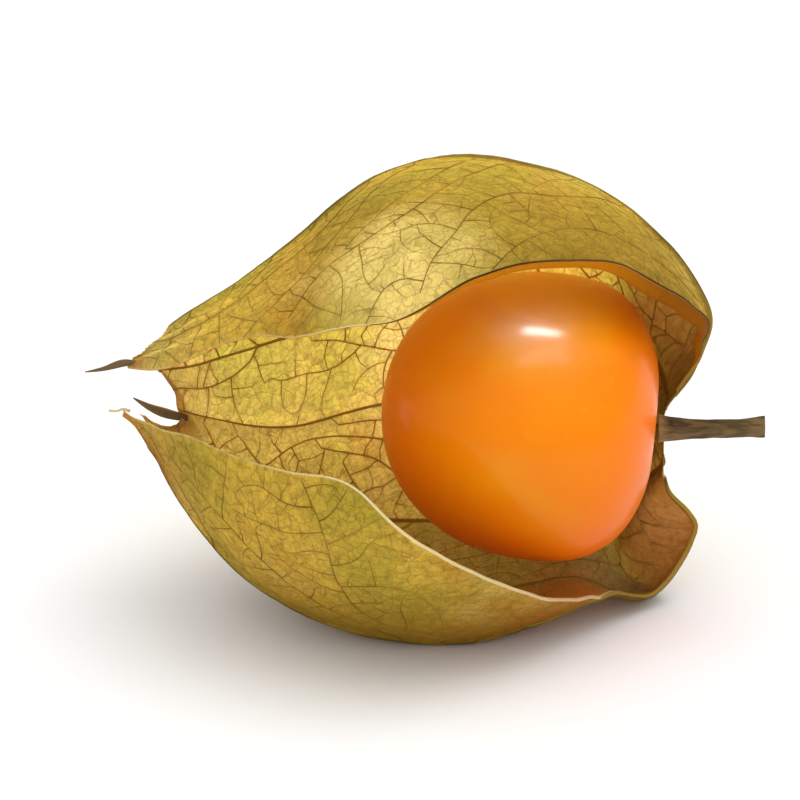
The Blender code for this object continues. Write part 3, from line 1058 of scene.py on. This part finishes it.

# %% [markdown]
# ## Waxy orange skin
#
# The berry's skin is thin and glossy over wet flesh, so light sinks in and comes out warmer. Subsurface
# scattering gives that softness, a clear coat gives the small sharp highlight, and a rougher base the
# broad one. The orange is brightest on the front; painted shade deepens it underneath and towards both
# ends. The dimple at the stalk is paler and the dot of the style at the blossom end is dark.

# %% Berry material
berry_skin, tree = new_material("berry_skin")
place = node(tree, "ShaderNodeTexCoord").outputs["Object"]
height = part_of(tree, place, 2)
to_blossom, to_stem = distance_to(tree, place, blossom_end), distance_to(tree, place, stem_end)
clouds = ease(tree, mottle(tree, place, 90.0, 3.0), 0.38, 0.64)
colour = mix_colours(tree, clouds, paint(255, 140, 0), paint(255, 158, 6))
specks = ease(tree, mottle(tree, place, 1500.0), 0.62, 0.74)
colour = tint(tree, colour, specks, 0.18, paint(255, 170, 60))
for value, begins, full, most, tone in (
    # the first three deepen the orange as painted shade: at the blossom end, underneath and at the stalk end
    (to_blossom, 0.013, 0.002, 0.6, paint(236, 96, 0)),
    (height, 0.016, 0.006, 0.8, paint(228, 92, 0)),
    (to_stem, 0.013, 0.005, 0.75, paint(252, 112, 0)),
    (to_stem, 0.0042, 0.0012, 0.6, paint(226, 150, 60)),       # the dimple
    (to_blossom, 0.0006, 0.0002, 0.6, paint(120, 62, 14)),     # the dot
):
    colour = mix_colours(tree, ease(tree, value, begins, full, 0.0, most), colour, tone)
normal = bumped(tree, mottle(tree, place, 2600.0), 0.12, 0.00005)
normal = bumped(tree, mottle(tree, place, 260.0), 0.25, 0.0001, normal)
roughness = ease(tree, mottle(tree, place, 400.0), 0.3, 0.7, 0.36, 0.44)
skin = node(tree, "ShaderNodeBsdfPrincipled", {"Base Color": colour, "Roughness": roughness, "Normal": normal,
                                               "Specular IOR Level": 0.1, "Subsurface Weight": 0.2,
                                               "Subsurface Radius": (1.0, 0.35, 0.1),
                                               "Subsurface Scale": 0.0015, "Coat Weight": 0.2,
                                               "Coat Roughness": 0.16})
finish_surface(tree, skin.outputs[0])
berry.data.materials.append(berry_skin)
print("berry skin:", len(tree.nodes), "nodes")

# %% [markdown]
# ## Stalk bark
#
# The stalk is dark olive-brown, streaked along its length, and a little paler where it broke from the
# fruit. The streaks are noise stretched along the axis.

# %% Stalk material
stalk_bark, tree = new_material("stalk_bark")
place = node(tree, "ShaderNodeTexCoord").outputs["Object"]
stretched = node(tree, "ShaderNodeMapping", {"Vector": place, "Scale": (0.18, 1.0, 1.0)}).outputs[0]
streaks = ease(tree, mottle(tree, stretched, 2600.0, 4.0), 0.35, 0.65)
colour = mix_colours(tree, streaks, paint(66, 46, 22), paint(124, 98, 54))
colour = tint(tree, colour, ease(tree, mottle(tree, place, 500.0), 0.5, 0.7), 0.5, paint(96, 84, 40))
past_joint = math_node(tree, "SUBTRACT", part_of(tree, place, 0), float(stem_end[0]))
colour = tint(tree, colour, ease(tree, past_joint, 0.0009, 0.0002), 0.4, paint(176, 140, 70))
normal = bumped(tree, streaks, 0.6, 0.0001)
bark = node(tree, "ShaderNodeBsdfPrincipled", {"Base Color": colour, "Roughness": 0.75, "Normal": normal})
finish_surface(tree, bark.outputs[0])
stalk.data.materials.append(stalk_bark)
print("stalk bark:", len(tree.nodes), "nodes")

# %% [markdown]
# ## Studio
#
# The fruit lies on a white sweep in weak white light from all round, with one soft lamp almost straight
# overhead. Light linking lets the other lamps reach only the pieces that need them: light from behind
# comes through the husk, a weak lamp fills its front, one gives the berry the light that would come
# through the husk over it, two make its shine, and one washes the floor so that it stays white.

# %% Floor
bpy.ops.object.select_all(action="DESELECT")
bpy.ops.mesh.primitive_plane_add(size=1.6, location=(0, 0.2, 0))
floor = bpy.context.object
floor.name = "floor"
bpy.ops.object.transform_apply(location=True)
floor_white, tree = new_material("floor_white")
place = node(tree, "ShaderNodeTexCoord").outputs["Object"]
clouds = ease(tree, mottle(tree, place, 40.0), 0.3, 0.7)
tone = mix_colours(tree, clouds, (0.93, 0.93, 0.93, 1), (0.95, 0.95, 0.95, 1))
matte = node(tree, "ShaderNodeBsdfPrincipled", {"Base Color": tone, "Roughness": 0.9})
finish_surface(tree, matte.outputs[0])
floor.data.materials.append(floor_white)
print("floor:", [round(c, 2) for c in floor.dimensions], "m")


# %% Lamps
def some_pieces(name, pieces):
    collection = bpy.data.collections.new(name)
    for piece in pieces:
        collection.objects.link(piece)
    return collection


def soft_lamp(name, towards, distance, size, power, lights=None, shaded_by=None):
    """A soft lamp that shines on the fruit from this direction, on all or only on some pieces."""
    data = bpy.data.lights.new(name, "AREA")
    data.shape = "RECTANGLE"
    data.size, data.size_y = size
    data.energy = power
    lamp = bpy.data.objects.new(name, data)
    bpy.context.collection.objects.link(lamp)
    direction = Vector(towards).normalized()
    lamp.location = Vector((0, 0, 0.014)) + direction * distance
    lamp.rotation_euler = direction.to_track_quat("Z", "Y").to_euler()
    if lights:
        lamp.light_linking.receiver_collection = some_pieces(name + "_lights", lights)
    if shaded_by:
        lamp.light_linking.blocker_collection = some_pieces(name + "_shaded_by", shaded_by)
    return lamp


calyx = (husk, ribs, veins, fold, tips, thread)
alone = (berry,)
lamps = (
    soft_lamp("overhead", (0.35, 0.05, 0.93), 0.45, (0.40, 0.40), 0.6),
    soft_lamp("glint", (0.02, 0.13, 0.97), 0.45, (0.11, 0.045), 1.9, alone, alone),
    soft_lamp("gleam", (-0.07, -0.02, 0.98), 0.45, (0.34, 0.20), 1.5, alone, alone),
    soft_lamp("through_the_husk", (0.05, 0.0, 0.99), 0.45, (0.4, 0.4), 0.65, alone, alone),
    soft_lamp("from_behind", (0.2, 0.9, 0.4), 0.6, (0.4, 0.3), 12.5, calyx),
    soft_lamp("from_the_front", (-0.35, -0.9, 0.25), 0.6, (0.5, 0.4), 2.2, calyx),
    soft_lamp("floor_wash", (0.0, 0.0, 1.0), 1.0, (1.2, 1.2), 1.7, [floor]),
)
SHINE_ONLY, NO_SHINE = ("glint", "gleam"), ("overhead", "through_the_husk", "from_behind", "from_the_front")
for lamp in lamps:
    lamp.visible_diffuse = lamp.name not in SHINE_ONLY
    lamp.visible_glossy = lamp.name not in NO_SHINE
print("lamps:", len(lamps))

# %% World
SEEN, LOW_LIGHT, HIGH_LIGHT, MIRRORED = 1.0, 0.65, 1.3, 0.2
world = bpy.data.worlds.new("studio_air")
bpy.context.scene.world = world
world.use_nodes = True
sky = world.node_tree
sky.nodes.clear()
upwards = part_of(sky, node(sky, "ShaderNodeTexCoord").outputs["Generated"], 2)
seen = node(sky, "ShaderNodeBackground", {"Color": (1, 1, 1, 1), "Strength": SEEN})
light = node(sky, "ShaderNodeBackground", {"Strength": ease(sky, upwards, 0.0, 0.9, LOW_LIGHT, HIGH_LIGHT)})
dim = node(sky, "ShaderNodeBackground", {"Color": (1, 1, 1, 1), "Strength": MIRRORED})
rays = node(sky, "ShaderNodeLightPath").outputs
lit = node(sky, "ShaderNodeMixShader", {0: rays["Is Glossy Ray"], 1: light.outputs[0], 2: dim.outputs[0]})
both = node(sky, "ShaderNodeMixShader", {0: rays["Is Camera Ray"], 1: lit.outputs[0], 2: seen.outputs[0]})
node(sky, "ShaderNodeOutputWorld", {"Surface": both.outputs[0]})
bpy.context.scene.view_settings.view_transform = "Standard"
print("light from all round:", LOW_LIGHT, "low down to", HIGH_LIGHT, "overhead")

# %% Camera
EYE_HEIGHT = math.radians(25.0)
EYE_DISTANCE = 0.5
VIEW_WIDTH = 0.05674                       # what the picture is wide, at the fruit
AIM_LEFT, AIM_UP = 8.51 * MM, 0.99 * MM    # where it looks, from the berry's middle

camera_data = bpy.data.cameras.new("camera")
camera = bpy.data.objects.new("camera", camera_data)
bpy.context.collection.objects.link(camera)
up = Vector((0, math.sin(EYE_HEIGHT), math.cos(EYE_HEIGHT)))
towards_eye = Vector((0, -math.cos(EYE_HEIGHT), math.sin(EYE_HEIGHT)))
aim = Vector(in_scene(BERRY_MIDDLE)) + Vector((-AIM_LEFT, 0, 0)) + up * AIM_UP
camera.location = aim + towards_eye * EYE_DISTANCE
camera.rotation_mode = "QUATERNION"
camera.rotation_quaternion = towards_eye.to_track_quat("Z", "Y")
camera_data.lens = camera_data.sensor_width * EYE_DISTANCE / VIEW_WIDTH
camera_data.clip_start, camera_data.clip_end = 0.01, 10.0
bpy.context.scene.camera = camera
print("lens:", round(camera_data.lens), "mm, from", EYE_DISTANCE, "m")

# %% [markdown]
# ## The pieces and their solids
#
# Each piece says which body it rides on and which solid it stands for, and that solid is hidden.

# %% Ride and replace
for piece, solid, slot in (
    (husk, "husk", "husk_paper"),
    (ribs, "husk", "husk_paper"),
    (veins, "husk", "husk_paper"),
    (fold, "husk", "husk_paper"),
    (tips, "husk", "husk_paper"),
    (thread, "husk", "husk_paper"),
    (berry, "berry", "berry_skin"),
    (stalk, "stalk", "stalk_bark"),
):
    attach(piece, "root")
    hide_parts(solid)
    print(piece.name, len(piece.data.polygons), "faces")
bpy.context.view_layer.update()
